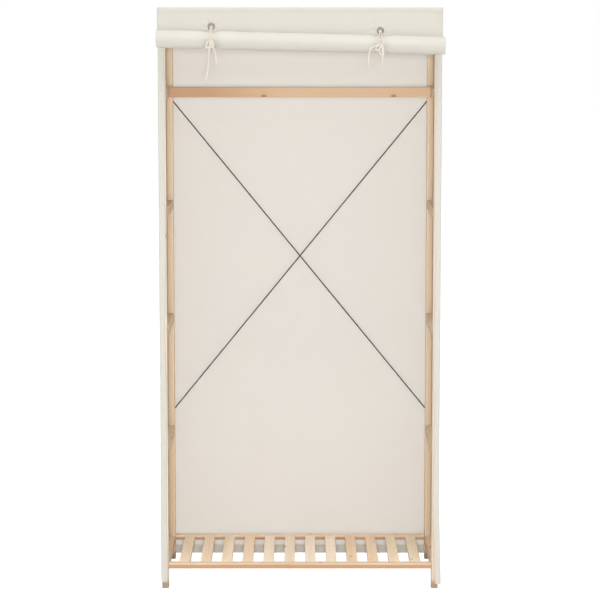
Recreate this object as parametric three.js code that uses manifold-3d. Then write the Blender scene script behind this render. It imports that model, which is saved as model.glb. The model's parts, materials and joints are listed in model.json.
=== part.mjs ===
// A portable fabric wardrobe: a pine frame of two ladder sides, a hanging rail, a slatted shelf and
// crossed brace wires, under a cloth cover whose door is rolled up and tied below the valance.
// Millimetres, +Z up, the front faces -Y, and the wardrobe stands on z = 0.
import * as THREE from "three";
import { mergeVertices } from "three/addons/utils/BufferGeometryUtils.js";
import Module from "manifold-3d";

// Overall sizes and the gaps between pieces
const coverHeight = 1700;
const frameWidth = 811;
const frameDepth = 400;
const contactGap = 0.3;
const cutOverrun = 1;

// Timber sections
const postWidth = 19;
const postDepth = 30;
const postEdge = 2;
const rungThickness = 18;
const rungHeight = 27;
const rungEdge = 2;
const battenWidth = 31;
const battenThickness = 14.5;
const battenEdge = 1.5;
const hangingRailDepth = 20;
const hangingRailHeight = 30;
const hangingRailEdge = 2.5;

// Where the timber stands
const shelfTop = 74;
const rungHeadroom = 235;
const rungCount = 5;
const slatCount = 12;
const firstSlatInset = 45.5;

// Joints in the timber
const tenonLength = 9;
const tenonThickness = 8;
const tenonShoulder = 5;
const slatTongueLength = 8;
const slatTongueThickness = 6;
const dowelRadius = 3.5;
const dowelLength = 10;

// Screws and brace wires
const screwRadius = 2;
const screwHeadRadius = 4;
const screwHeadHeight = 2.2;
const railScrewLength = 46;
const shelfScrewLength = 50;
const braceScrewLength = 22;
const braceScrewHeadRadius = 4.6;
const wireDiameter = 3.5;
const wireEyeRadius = 4.2;
const braceHeadroom = 272;
const braceBottom = 459;

// Cloth of the cover
const clothThickness = 1.5;
const sideSlack = 2;
const frontSlack = 2;
const backSlack = 0.8;
const facingWidth = 17;
const facingWave = 2.2;
const hemHeight = 26;
const hemExtra = 1;
const leftHemRise = 20;
const rightHemRise = 10;
const backHemRise = 10;
const facingHemRise = 20;
const rightHemFlare = 7;
const hemFlareHeight = 260;
const backFold = 3;
const sideFold = 0.8;
const topCornerRadius = 6;

// The rolled door: how far its ends reach past the cover, and its axis's drop below the top there
const rollLeftOverhang = 1;
const rollRightOverhang = 5;
const rollLeftDrop = 89.5;
const rollRightDrop = 109.5;
const rollRadius = 28;
const rollTurn = 1.6;
const rollPinch = 6;
const rollPinchReach = 22;
const rollLump = 0.7;
const rollLumpLength = 118;
const rollEndGroove = 1.1;
const rollEndPitch = 5.6;
const rollEndDepth = 9;
const rollEndTurns = 3;

// The valance in front of the door's top, with an eyelet for each tie
const valanceRise = 18;
const valanceWave = 1.1;
const leftTieInset = 155;
const rightTieInset = 179;
const eyeletRise = 38;
const eyeletRadius = 10.5;
const eyeletHoleRadius = 6;
const eyeletWall = 0.8;
const eyeletFlange = 1;

// The ties, two strands of cord side by side round the roll, knotted in a bow in front
const cordDiameter = 4.5;
const cordDrop = 0.8;
const knotWidth = 13;
const knotDepth = 9;
const knotHeight = 9;
const bowStandOff = 3.4;
const leftTail = [
  [0, 0], [-2, -12], [-3, -26], [-5, -48], [-6, -72], [-9, -94], [-14, -116],
];
const leftShortTail = [
  [1, 0], [5, -13], [9, -26], [13, -40], [15.5, -55], [16, -70],
];
const rightTail = [
  [-2, 0], [-13, -4], [-24, -10], [-32, -20], [-34.5, -36], [-34, -52], [-34, -67],
];
const rightShortTail = [
  [1, 0], [4, -14], [5, -28], [4, -42], [5, -54],
];
const leftLoops = [
  { lean: -0.42, length: 25, width: 11 },
  { lean: 0.28, length: 23, width: 10 },
];
const rightLoops = [
  { lean: 0.1, length: 31, width: 14 },
  { lean: -0.62, length: 22, width: 9 },
];

// How finely curves are cut into flat faces
const edgeSteps = 1;
const roundSides = 12;
const wireSides = 8;
const cordSides = 6;
const eyeletSides = 16;
const weldDistance = 1e-4;

// Places that follow from the sizes above
const frameHeight = coverHeight - clothThickness - contactGap;
const postOuterX = frameWidth / 2;
const postInnerX = postOuterX - postWidth;
const postCentreX = postOuterX - postWidth / 2;
const postCentreY = frameDepth / 2 - postDepth / 2;
const rungInnerX = postCentreX - rungThickness / 2;
const sideInnerX = postOuterX + sideSlack;
const coverHalfWidth = sideInnerX + clothThickness;
const facingBackY = -frameDepth / 2 - frontSlack;
const facingFrontY = facingBackY - clothThickness;
const doorBackY = facingFrontY - contactGap;
const doorFrontY = doorBackY - clothThickness;
const valanceBackY = doorFrontY - contactGap;
const valanceFrontY = valanceBackY - clothThickness;
const wireBackY = frameDepth / 2 + 2 * (contactGap + wireDiameter);
const backInnerY = wireBackY + backSlack;
const clothTop = coverHeight - clothThickness - contactGap;
const highestRungTop = coverHeight - rungHeadroom;
const braceTop = coverHeight - braceHeadroom;
const rollLeft = -coverHalfWidth - rollLeftOverhang;
const rollRight = coverHalfWidth + rollRightOverhang;
const rollLeftHeight = coverHeight - rollLeftDrop;
const rollRightHeight = coverHeight - rollRightDrop;
const rollBackY = doorFrontY - contactGap;

const wasm = await Module();
wasm.setup();

const pine = new THREE.MeshStandardMaterial({ color: 0xdebb93, roughness: 0.62, metalness: 0 });
const cloth = new THREE.MeshStandardMaterial({ color: 0xe5e0d5, roughness: 0.92, metalness: 0 });
const cordFinish = new THREE.MeshStandardMaterial({ color: 0xf0ebe0, roughness: 0.85, metalness: 0 });
const darkSteel = new THREE.MeshStandardMaterial({ color: 0x2e3030, roughness: 0.45, metalness: 0.8 });
const zincSteel = new THREE.MeshStandardMaterial({ color: 0xb9bab8, roughness: 0.35, metalness: 0.9 });
const eyeletMetal = new THREE.MeshStandardMaterial({ color: 0x9a9b98, roughness: 0.3, metalness: 0.95 });

const wardrobe = new THREE.Group();

function add(name, geometry, material) {
  const mesh = new THREE.Mesh(geometry, material);
  mesh.name = name;
  wardrobe.add(mesh);
  return mesh;
}

// A closed geometry as a solid that can be cut and joined. One that faces inwards is turned round.
function solidOf(geometry) {
  const bare = new THREE.BufferGeometry();
  bare.setAttribute("position", geometry.getAttribute("position"));
  bare.setIndex(geometry.index);
  const welded = mergeVertices(bare, weldDistance);
  const build = (corners) =>
    new wasm.Manifold(
      new wasm.Mesh({
        numProp: 3,
        vertProperties: welded.getAttribute("position").array,
        triVerts: Uint32Array.from(corners),
      }),
    );
  const made = build(welded.index.array);
  if (made.volume() > 0) return made;
  return build(welded.index.array.toReversed());
}

function geometryOf(solid) {
  const mesh = solid.getMesh();
  const geometry = new THREE.BufferGeometry();
  geometry.setAttribute("position", new THREE.BufferAttribute(Float32Array.from(mesh.vertProperties), 3));
  geometry.setIndex(new THREE.BufferAttribute(Uint32Array.from(mesh.triVerts), 1));
  const faceted = geometry.toNonIndexed();
  faceted.computeVertexNormals();
  return faceted;
}

function cut(geometry, cutters) {
  const left = cutters.reduce((body, cutter) => body.subtract(solidOf(cutter)), solidOf(geometry));
  return geometryOf(left);
}

function join(geometries) {
  return geometryOf(geometries.map(solidOf).reduce((body, next) => body.add(next)));
}

function box(width, depth, height, x = 0, y = 0, z = 0) {
  return new THREE.BoxGeometry(width, depth, height).translate(x, y, z);
}

// The outline of a planed bar: a rectangle whose four corners are rounded.
function planedOutline(width, depth, edge) {
  const outline = new THREE.Shape();
  const corners = [
    [width / 2 - edge, depth / 2 - edge, 0],
    [edge - width / 2, depth / 2 - edge, Math.PI / 2],
    [edge - width / 2, edge - depth / 2, Math.PI],
    [width / 2 - edge, edge - depth / 2, 1.5 * Math.PI],
  ];
  for (const [x, y, angle] of corners) outline.absarc(x, y, edge, angle, angle + Math.PI / 2);
  return outline;
}

// A planed bar along Z, centred on the origin, with its ends chamfered by the edge radius.
function bar(width, depth, length, edge) {
  const chamfer = edge / 2;
  const geometry = new THREE.ExtrudeGeometry(planedOutline(width - edge, depth - edge, edge / 2), {
    depth: length - 2 * chamfer,
    curveSegments: edgeSteps,
    bevelEnabled: true,
    bevelSegments: 1,
    bevelThickness: chamfer,
    bevelSize: chamfer,
  });
  return geometry.translate(0, 0, chamfer - length / 2);
}

const alongX = (geometry) => geometry.rotateY(Math.PI / 2);
const alongY = (geometry) => geometry.rotateX(-Math.PI / 2);

// A countersunk screw along Z, its head's flat face at z = 0 and its point below. grown widens it
// all round, which makes the hole that it goes through.
function screw(radius, headRadius, headHeight, length, grown = 0) {
  const profile = [
    [0, grown],
    [headRadius + grown, grown],
    [headRadius + grown, 0],
    [radius + grown, -headHeight - grown],
    [radius + grown, radius - length],
    [0, -length - grown],
  ];
  const points = profile.map(([r, z]) => new THREE.Vector2(r, z)).reverse();
  return new THREE.LatheGeometry(points, roundSides).rotateX(Math.PI / 2);
}

// A sheet of cloth as a closed solid. inner and outer give the points of its two faces at a column
// and a row, both counted from 0.
function sheet(columns, rows, inner, outer) {
  const points = [];
  for (const face of [inner, outer])
    for (let row = 0; row <= rows; row++)
      for (let column = 0; column <= columns; column++) points.push(...face(column, row));
  const across = columns + 1;
  const perFace = across * (rows + 1);
  const at = (face, column, row) => face * perFace + row * across + column;
  const corners = [];
  const quad = (a, b, c, d) => corners.push(a, b, c, a, c, d);
  for (let row = 0; row < rows; row++)
    for (let column = 0; column < columns; column++)
      for (const face of [0, 1]) {
        const ring = [
          at(face, column, row),
          at(face, column + 1, row),
          at(face, column + 1, row + 1),
          at(face, column, row + 1),
        ];
        quad(...(face ? ring : ring.reverse()));
      }
  for (let column = 0; column < columns; column++) {
    quad(at(0, column, 0), at(0, column + 1, 0), at(1, column + 1, 0), at(1, column, 0));
    quad(at(1, column, rows), at(1, column + 1, rows), at(0, column + 1, rows), at(0, column, rows));
  }
  for (let row = 0; row < rows; row++) {
    quad(at(1, 0, row), at(1, 0, row + 1), at(0, 0, row + 1), at(0, 0, row));
    quad(at(0, columns, row), at(0, columns, row + 1), at(1, columns, row + 1), at(1, columns, row));
  }
  const geometry = new THREE.BufferGeometry();
  geometry.setAttribute("position", new THREE.Float32BufferAttribute(points, 3));
  geometry.setIndex(corners);
  return geometryOf(solidOf(geometry));
}

// A tube of an outline along a smooth curve through points.
function tube(outline, points, steps) {
  return new THREE.ExtrudeGeometry(outline, {
    steps,
    curveSegments: 2 * edgeSteps,
    bevelEnabled: false,
    extrudePath: new THREE.CatmullRomCurve3(points, false, "centripetal"),
  });
}

function regularOutline(radius, sides) {
  const corners = Array.from({ length: sides }, (_, side) => {
    const angle = (2 * Math.PI * side) / sides;
    return new THREE.Vector2(radius * Math.cos(angle), radius * Math.sin(angle));
  });
  return new THREE.Shape(corners);
}

// Posts, each with a mortise for every rung, and holes for its dowel, screw or brace screw
const rungTops = Array.from(
  { length: rungCount },
  (_, step) => shelfTop + ((highestRungTop - shelfTop) * step) / (rungCount - 1),
);
rungTops.push(frameHeight);
const rungCentres = rungTops.map((top) => top - rungHeight / 2);
const tenonHeight = rungHeight - 2 * tenonShoulder;
const shelfCentreZ = shelfTop - battenThickness / 2;
const topRailCentreZ = frameHeight - battenThickness / 2;
const railEndX = postInnerX - contactGap;
const dowelReach = 2 * (railEndX + dowelLength);

function mortise(centreZ, inwards) {
  const depth = tenonLength + cutOverrun + contactGap;
  return box(
    tenonThickness + 2 * contactGap,
    depth,
    tenonHeight + 2 * contactGap,
    0,
    inwards * (postDepth / 2 - tenonLength - contactGap + depth / 2),
    centreZ,
  );
}

function post(side, end) {
  const bores = rungCentres.map((centreZ) => mortise(centreZ - frameHeight / 2, -end));
  const dowelHole = new THREE.CylinderGeometry(
    dowelRadius + contactGap,
    dowelRadius + contactGap,
    2 * (dowelLength + contactGap),
    roundSides,
  );
  dowelHole.rotateZ(Math.PI / 2).translate(-side * (postWidth / 2), 0, topRailCentreZ - frameHeight / 2);
  bores.push(dowelHole);
  const shelfHole = screw(screwRadius, screwHeadRadius, screwHeadHeight, shelfScrewLength, contactGap);
  shelfHole.rotateY((side * Math.PI) / 2);
  shelfHole.translate(side * (postWidth / 2), 0, shelfCentreZ - frameHeight / 2);
  bores.push(shelfHole);
  if (end > 0)
    for (const centreZ of [braceTop, braceBottom]) {
      const hole = new THREE.CylinderGeometry(
        screwRadius + contactGap,
        screwRadius + contactGap,
        2 * braceScrewLength,
        roundSides,
      );
      bores.push(hole.translate(0, postDepth / 2, centreZ - frameHeight / 2));
    }
  return cut(bar(postWidth, postDepth, frameHeight, postEdge), bores);
}

for (const [sideName, side] of [["left", -1], ["right", 1]])
  for (const [endName, end] of [["front", -1], ["back", 1]]) {
    const mesh = add(`post_${endName}_${sideName}`, post(side, end), pine);
    mesh.position.set(side * postCentreX, end * postCentreY, frameHeight / 2);
  }

// Rungs, tenoned into the posts, and bored for the hanging rail's screw where it is carried
const rungLength = frameDepth - 2 * postDepth - 2 * contactGap;

function rung(bored) {
  const body = bar(rungThickness, rungHeight, rungLength, rungEdge);
  const tenons = box(tenonThickness, tenonHeight, rungLength + 2 * tenonLength);
  const made = join([body, tenons]);
  alongY(made);
  if (!bored) return made;
  const hole = screw(screwRadius, screwHeadRadius, screwHeadHeight, railScrewLength, contactGap);
  hole.rotateY((bored * Math.PI) / 2).translate((bored * rungThickness) / 2, 0, 0);
  return cut(made, [hole]);
}

for (const [sideName, side] of [["left", -1], ["right", 1]])
  rungCentres.forEach((centreZ, step) => {
    const isTop = step === rungCount;
    const name = isTop ? `top_rung_${sideName}` : `rung_${sideName}_${step + 1}`;
    const mesh = add(name, rung(step === rungCount - 1 ? side : 0), pine);
    mesh.position.set(side * postCentreX, 0, centreZ);
  });

// Hanging rail, screwed end on between the highest rungs
const hangingRailZ = rungCentres[rungCount - 1];
const hangingRailLength = 2 * (rungInnerX - contactGap);

function screwPair(length, reach) {
  return [-1, 1].map((side) => {
    const hole = screw(screwRadius, screwHeadRadius, screwHeadHeight, length, contactGap);
    return hole.rotateY((side * Math.PI) / 2).translate(side * reach, 0, 0);
  });
}

const railScrewReach = postCentreX + rungThickness / 2;
const hangingRail = alongX(bar(hangingRailHeight, hangingRailDepth, hangingRailLength, hangingRailEdge));
add("hanging_rail", cut(hangingRail, screwPair(railScrewLength, railScrewReach)), pine).position.z =
  hangingRailZ;

// Top rails, carried on dowels of their own ends, under the cover's top
for (const [endName, end] of [["front", -1], ["back", 1]]) {
  const body = alongX(bar(battenThickness, postDepth, 2 * railEndX, battenEdge));
  const dowel = new THREE.CylinderGeometry(dowelRadius, dowelRadius, dowelReach, roundSides);
  const mesh = add(`top_rail_${endName}`, join([body, dowel.rotateZ(Math.PI / 2)]), pine);
  mesh.position.set(0, end * postCentreY, topRailCentreZ);
}

// Shelf: two rails with a groove along their inner edge, and slats with a tongue at each end
const shelfRailCentreY = frameDepth / 2 - battenWidth / 2;
const grooveDepth = slatTongueLength + contactGap;
const grooveHeight = slatTongueThickness + 2 * contactGap;

for (const [endName, end] of [["front", -1], ["back", 1]]) {
  const body = alongX(bar(battenThickness, battenWidth, 2 * railEndX, battenEdge));
  const grooveY = -end * (battenWidth / 2 - grooveDepth + (grooveDepth + cutOverrun) / 2);
  const grooveCutter = box(2 * (railEndX + cutOverrun), grooveDepth + cutOverrun, grooveHeight, 0, grooveY);
  const bores = screwPair(shelfScrewLength, postOuterX);
  for (const bore of bores) bore.translate(0, end * (postCentreY - shelfRailCentreY), 0);
  const mesh = add(`shelf_rail_${endName}`, cut(body, [grooveCutter, ...bores]), pine);
  mesh.position.set(0, end * shelfRailCentreY, shelfCentreZ);
}

const slatLength = frameDepth - 2 * battenWidth - 2 * contactGap;
const slatPitch = (2 * (postInnerX - firstSlatInset)) / (slatCount - 1);
for (let count = 0; count < slatCount; count++) {
  const body = bar(battenWidth, battenThickness, slatLength, battenEdge);
  const tongues = box(battenWidth - battenEdge, slatTongueThickness, slatLength + 2 * slatTongueLength);
  const number = String(count + 1).padStart(2, "0");
  const mesh = add(`shelf_slat_${number}`, alongY(join([body, tongues])), pine);
  mesh.position.set(firstSlatInset - postInnerX + count * slatPitch, 0, shelfCentreZ);
}

// Screws of the hanging rail and of the shelf, flush in the outer faces
for (const [sideName, side] of [["left", -1], ["right", 1]]) {
  const railScrew = screw(screwRadius, screwHeadRadius, screwHeadHeight, railScrewLength);
  const railMesh = add(`hanging_rail_screw_${sideName}`, railScrew, zincSteel);
  railMesh.rotation.y = (side * Math.PI) / 2;
  railMesh.position.set(side * railScrewReach, 0, hangingRailZ);
  for (const [endName, end] of [["front", -1], ["back", 1]]) {
    const shelfScrew = screw(screwRadius, screwHeadRadius, screwHeadHeight, shelfScrewLength);
    const mesh = add(`shelf_screw_${endName}_${sideName}`, shelfScrew, zincSteel);
    mesh.rotation.y = (side * Math.PI) / 2;
    mesh.position.set(side * postOuterX, end * postCentreY, shelfCentreZ);
  }
}

// Brace wires, crossed behind the back posts. The second bows out over the first where they meet.
const wireRadius = wireDiameter / 2;
const wireSeatY = frameDepth / 2 + contactGap + wireRadius;

function braceWire(slope, bow) {
  const start = new THREE.Vector3(-postCentreX, 0, slope > 0 ? braceBottom : braceTop);
  const finish = new THREE.Vector3(postCentreX, 0, slope > 0 ? braceTop : braceBottom);
  const direction = finish.clone().sub(start).normalize();
  start.addScaledVector(direction, wireEyeRadius);
  finish.addScaledVector(direction, -wireEyeRadius);
  const points = [0, 0.25, 0.5, 0.75, 1].map((share) => {
    const point = start.clone().lerp(finish, share);
    point.y = bow * Math.sin(Math.PI * share);
    return point;
  });
  const rod = tube(regularOutline(wireRadius, wireSides), points, bow ? wireSides : 1);
  const eyes = [-1, 1].map((side) => {
    const ring = new THREE.TorusGeometry(wireEyeRadius, wireRadius, wireSides, roundSides);
    const height = side * slope > 0 ? braceTop : braceBottom;
    return ring.rotateX(Math.PI / 2).translate(side * postCentreX, 0, height);
  });
  return join([rod, ...eyes]);
}

add("brace_wire_a", braceWire(1, 0), darkSteel).position.y = wireSeatY;
add("brace_wire_b", braceWire(-1, wireDiameter + contactGap), darkSteel).position.y = wireSeatY;

for (const [sideName, side] of [["left", -1], ["right", 1]])
  for (const [levelName, height] of [["top", braceTop], ["bottom", braceBottom]]) {
    const profile = [
      [0, screwHeadHeight],
      [screwRadius, screwHeadHeight],
      [braceScrewHeadRadius, screwHeadHeight / 2],
      [braceScrewHeadRadius, 0],
      [screwRadius, 0],
      [screwRadius, screwRadius - braceScrewLength],
      [0, -braceScrewLength],
    ];
    const points = profile.map(([r, z]) => new THREE.Vector2(r, z)).reverse();
    const head = new THREE.LatheGeometry(points, roundSides);
    const mesh = add(`brace_screw_${levelName}_${sideName}`, head, zincSteel);
    mesh.position.set(side * postCentreX, wireSeatY + wireRadius + contactGap, height);
  }

// Rows of a hanging panel, from the top to its hem. hem marks those where the cloth lies double.
function dropRows(rise, upperRows, lowerRows) {
  const hemTop = rise + hemHeight;
  const spread = (from, to, steps) =>
    Array.from({ length: steps }, (_, step) => ({ z: from + ((to - from) * step) / steps, hem: false }));
  return [
    ...spread(clothTop, hemFlareHeight, upperRows),
    ...spread(hemFlareHeight, hemTop, lowerRows),
    { z: hemTop, hem: false },
    { z: hemTop, hem: true },
    { z: rise, hem: true },
  ];
}

// Side panels, with shallow folds that stand outwards, and a flare at the right front hem
const sideColumns = 6;
const sideUpperRows = 7;
const sideLowerRows = 1;

function flare(side, height, frontShare) {
  if (side < 0) return 0;
  return rightHemFlare * Math.max(0, 1 - height / hemFlareHeight) * frontShare ** 2;
}

function sideWave(side, backShare, height) {
  const fall = 1 - height / clothTop;
  const phase = 3 * Math.PI * backShare + side * 2 * fall;
  return sideFold * fall * Math.sin(Math.PI * backShare) * (1 + Math.sin(phase));
}

function sidePanel(side) {
  const rows = dropRows(side < 0 ? leftHemRise : rightHemRise, sideUpperRows, sideLowerRows);
  const backY = backInnerY + clothThickness;
  const face = (thickness, extra) => (column, row) => {
    const share = column / sideColumns;
    const { z, hem } = rows[row];
    const wave = sideWave(side, share, z) + flare(side, z, 1 - share);
    const x = sideInnerX + wave + thickness + (hem ? extra : 0);
    return [side * x, facingFrontY + (backY - facingFrontY) * share, z];
  };
  return sheet(sideColumns, rows.length - 1, face(0, 0), face(clothThickness, hemExtra));
}

add("cover_left_panel", sidePanel(-1), cloth);
add("cover_right_panel", sidePanel(1), cloth);

// Facings: the side panels' narrow returns in front of the posts, with a loose inner edge
const facingUpperRows = 20;
const facingLowerRows = 3;
const facingWaves = 7;

function facing(side) {
  const rows = dropRows(facingHemRise, facingUpperRows, facingLowerRows);
  const face = (y, extra) => (column, row) => {
    const { z, hem } = rows[row];
    const reach = sideInnerX - contactGap + flare(side, z, 1);
    const fall = 1 - z / clothTop;
    const wave = facingWave * Math.sin(facingWaves * Math.PI * fall + side) * Math.sin(Math.PI * fall);
    return [side * (reach - column * (facingWidth - 2 * contactGap + wave)), y - (hem ? extra : 0), z];
  };
  return sheet(1, rows.length - 1, face(facingBackY, 0), face(facingFrontY, hemExtra));
}

add("cover_left_facing", facing(-1), cloth);
add("cover_right_facing", facing(1), cloth);

// Back panel, between the side panels, with soft upright folds that grow towards the hem
const backColumns = 20;
const backUpperRows = 5;
const backLowerRows = 1;
const backFolds = 5;

function backPanel() {
  const rows = dropRows(backHemRise, backUpperRows, backLowerRows);
  const halfWidth = sideInnerX - contactGap;
  const face = (thickness, extra) => (column, row) => {
    const share = column / backColumns;
    const { z, hem } = rows[row];
    const fold = 1 - Math.cos(2 * backFolds * Math.PI * share + Math.sin(backFolds * share));
    const wave = (backFold / 2) * fold * Math.sin(Math.PI * share) * (1 - z / clothTop);
    return [halfWidth * (2 * share - 1), backInnerY + wave + thickness + (hem ? extra : 0), z];
  };
  return sheet(backColumns, rows.length - 1, face(0, 0), face(clothThickness, hemExtra));
}

add("cover_back_panel", backPanel(), cloth);

// Top panel, stretched over the rails
const coverBackY = backInnerY + clothThickness;
const topDepth = coverBackY - valanceFrontY;
const topPanel = new THREE.ExtrudeGeometry(
  planedOutline(2 * coverHalfWidth, topDepth, topCornerRadius),
  { depth: clothThickness, curveSegments: 2 * edgeSteps, bevelEnabled: false },
);
add("cover_top_panel", topPanel, cloth).position.set(
  0,
  valanceFrontY + topDepth / 2,
  coverHeight - clothThickness,
);

// The rolled door's axis, and its radius, which is drawn in under each tie
const tiePlaces = [leftTieInset - coverHalfWidth, coverHalfWidth - rightTieInset];

function rollHeight(x) {
  return rollLeftHeight + ((rollRightHeight - rollLeftHeight) * (x - rollLeft)) / (rollRight - rollLeft);
}

function pinchShare(x) {
  const besideTies = tiePlaces.map((place) => Math.max(0, Math.abs(x - place) - cordDiameter));
  return Math.exp(-((Math.min(...besideTies) / rollPinchReach) ** 2));
}

function rollRadiusAt(x) {
  return rollRadius - rollPinch * pinchShare(x);
}

// Valance: a flap round the front of the top, its lower edge along the roll
const valanceColumns = 36;
const valanceRows = 4;

function valance() {
  const face = (halfWidth, frontY) => (column, row) => {
    const isReturn = column === 0 || column === valanceColumns;
    const share = THREE.MathUtils.clamp((column - 1) / (valanceColumns - 2), 0, 1);
    const x = halfWidth * (2 * share - 1);
    const fall = row / valanceRows;
    const wave = valanceWave * fall * (1 - pinchShare(x)) * Math.sin(Math.PI * share);
    const folded = frontY - wave * (1 + Math.sin(16 * Math.PI * share));
    const z = clothTop - (clothTop - rollHeight(x) - valanceRise) * fall;
    return [x, isReturn ? facingFrontY - contactGap : folded, z];
  };
  const cloth = sheet(
    valanceColumns,
    valanceRows,
    face(sideInnerX, valanceBackY),
    face(coverHalfWidth, valanceFrontY),
  );
  return cut(cloth, tiePlaces.map(eyeletHole));
}

function eyeletHole(place) {
  const radius = eyeletHoleRadius + eyeletWall + contactGap;
  const length = 4 * (doorBackY - valanceFrontY);
  const hole = new THREE.CylinderGeometry(radius, radius, length, eyeletSides);
  return hole.translate(place, valanceFrontY, rollHeight(place) + eyeletRise);
}

add("cover_valance", valance(), cloth);

// The top of the door, sewn behind the valance and falling to the back of the roll
const doorColumns = 12;

function doorTop() {
  const halfWidth = sideInnerX - contactGap;
  const face = (y) => (column, row) => {
    const x = halfWidth * ((2 * column) / doorColumns - 1);
    return [x, y, row ? rollHeight(x) : clothTop];
  };
  return cut(sheet(doorColumns, 1, face(doorBackY), face(doorFrontY)), tiePlaces.map(eyeletHole));
}

add("door_top", doorTop(), cloth);

// The roll: an outer turn that ends in a step where it leaves upwards at the back, over a core
const rollSides = 26;
const tieStationShares = [-2.1, -1.5, -1, -0.6, -0.2, 0.2, 0.6, 1, 1.5, 2.1];
const clearShare = 2.4;
const plainSpans = 18;

function rollStations() {
  const stations = tiePlaces.flatMap((place) =>
    tieStationShares.map((share) => place + share * rollPinchReach),
  );
  for (let span = 0; span <= plainSpans; span++) {
    const x = rollLeft + ((rollRight - rollLeft) * span) / plainSpans;
    const isClear = tiePlaces.every((place) => Math.abs(x - place) > clearShare * rollPinchReach);
    if (isClear) stations.push(x);
  }
  return stations.sort((a, b) => a - b);
}

// The outline at x, from the back of the roll down, round the front and over the top. The outer turn
// thins to nothing on the way, which leaves a step at the back where the cloth goes up.
function rollPoint(x, side) {
  const turnShare = side / rollSides;
  const angle = 2 * Math.PI * turnShare;
  const lump = rollLump * (1 + Math.sin(2 * angle + (2 * Math.PI * x) / rollLumpLength));
  const loose = 1 - pinchShare(x);
  const radius = rollRadiusAt(x) - loose * (lump + rollTurn * turnShare);
  return [rollBackY - rollRadiusAt(x) + radius * Math.cos(angle), rollHeight(x) - radius * Math.sin(angle)];
}

function rollBody() {
  const stations = rollStations();
  const points = [];
  const ringSides = rollSides + 1;
  for (const x of stations)
    for (let side = 0; side < ringSides; side++) points.push(x, ...rollPoint(x, side));
  const first = points.length / 3;
  for (const x of [stations.at(0), stations.at(-1)])
    points.push(x, rollBackY - rollRadiusAt(x), rollHeight(x));
  const corners = [];
  for (let ring = 0; ring < stations.length - 1; ring++)
    for (let side = 0; side < ringSides; side++) {
      const a = ring * ringSides + side;
      const b = ring * ringSides + ((side + 1) % ringSides);
      corners.push(a, b, b + ringSides, a, b + ringSides, a + ringSides);
    }
  const lastRing = (stations.length - 1) * ringSides;
  for (let side = 0; side < ringSides; side++) {
    const next = (side + 1) % ringSides;
    corners.push(first, next, side, first + 1, lastRing + side, lastRing + next);
  }
  const geometry = new THREE.BufferGeometry();
  geometry.setAttribute("position", new THREE.Float32BufferAttribute(points, 3));
  geometry.setIndex(corners);
  return geometry;
}

// The gap between the outer turns, as it shows at an end of the roll: a spiral wall
function spiralGap(x) {
  const stepsPerTurn = 12;
  const edge = (offset) =>
    Array.from({ length: rollEndTurns * stepsPerTurn + 1 }, (_, step) => {
      const angle = (2 * Math.PI * step) / stepsPerTurn;
      const radius = rollRadius - rollEndPitch * (0.5 + step / stepsPerTurn) - offset;
      return new THREE.Vector2(radius * Math.cos(angle), radius * Math.sin(angle));
    });
  const outline = new THREE.Shape([...edge(0), ...edge(rollEndGroove).reverse()]);
  const wall = new THREE.ExtrudeGeometry(outline, { depth: 2 * rollEndDepth, bevelEnabled: false });
  wall.translate(0, 0, -rollEndDepth);
  wall.rotateY(Math.PI / 2).rotateX(Math.PI / 2);
  return wall.translate(x, rollBackY - rollRadius, rollHeight(x));
}

add("door_roll", cut(rollBody(), [spiralGap(rollLeft), spiralGap(rollRight)]), cloth);

// Eyelets: a ring with a flange on each face of the two cloths
function eyelet() {
  const back = doorBackY + contactGap + eyeletFlange;
  const front = valanceFrontY - contactGap - eyeletFlange;
  const barrel = eyeletHoleRadius + eyeletWall;
  const profile = [
    [eyeletHoleRadius, front + eyeletFlange / 2],
    [barrel, front],
    [eyeletRadius - eyeletFlange, front],
    [eyeletRadius, front + eyeletFlange],
    [barrel, front + eyeletFlange],
    [barrel, back - eyeletFlange],
    [eyeletRadius, back - eyeletFlange],
    [eyeletRadius - eyeletFlange, back],
    [barrel, back],
    [eyeletHoleRadius, back - eyeletFlange / 2],
    [eyeletHoleRadius, front + eyeletFlange / 2],
  ];
  return new THREE.LatheGeometry(profile.map(([r, y]) => new THREE.Vector2(r, y)), eyeletSides);
}

["left", "right"].forEach((sideName, index) => {
  const place = tiePlaces[index];
  const mesh = add(`eyelet_${sideName}`, geometryOf(solidOf(eyelet())), eyeletMetal);
  mesh.position.set(place, 0, rollHeight(place) + eyeletRise);
});

// Ties. The hold goes from the knot up to the eyelet, through it, and down round the roll's back.
const cordRadius = cordDiameter / 2;
const tiedRadius = rollRadius - rollPinch;
const tiedCentreY = rollBackY - tiedRadius;
const holdRadius = tiedRadius + contactGap + cordRadius;
const holdSteps = 32;
const bendDropShare = 0.9;
const loopSteps = 8;
const strandFrontY = valanceFrontY - 2 * contactGap - eyeletFlange - cordRadius;
const strandBackY = doorBackY + 2 * contactGap + eyeletFlange + cordRadius;
const strandOutline = planedOutline(2 * cordDiameter, cordDiameter, cordRadius);
const knotY = tiedCentreY - tiedRadius - contactGap - knotDepth / 2;

function holdPoints() {
  const circle = (degrees) => {
    const angle = THREE.MathUtils.degToRad(degrees);
    return [tiedCentreY - holdRadius * Math.cos(angle), -holdRadius * Math.sin(angle)];
  };
  const bend = eyeletRise - bendDropShare * cordDiameter;
  const below = eyeletRise - 2 * cordDiameter;
  const middleY = (strandFrontY + strandBackY) / 2;
  const route = [
    ...[14, 30, 50, 70, 90, 110, 130, 150, 166].map(circle),
    [strandBackY, cordDiameter],
    [strandBackY, eyeletRise / 2],
    [strandBackY, below],
    [strandBackY - contactGap, bend],
    [middleY, eyeletRise - cordDrop],
    [strandFrontY + contactGap, bend],
    [strandFrontY, below],
    ...[-82, -64, -47, -30, -14].map(circle),
  ];
  return route.map(([y, z]) => new THREE.Vector3(0, y, z));
}

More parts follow.
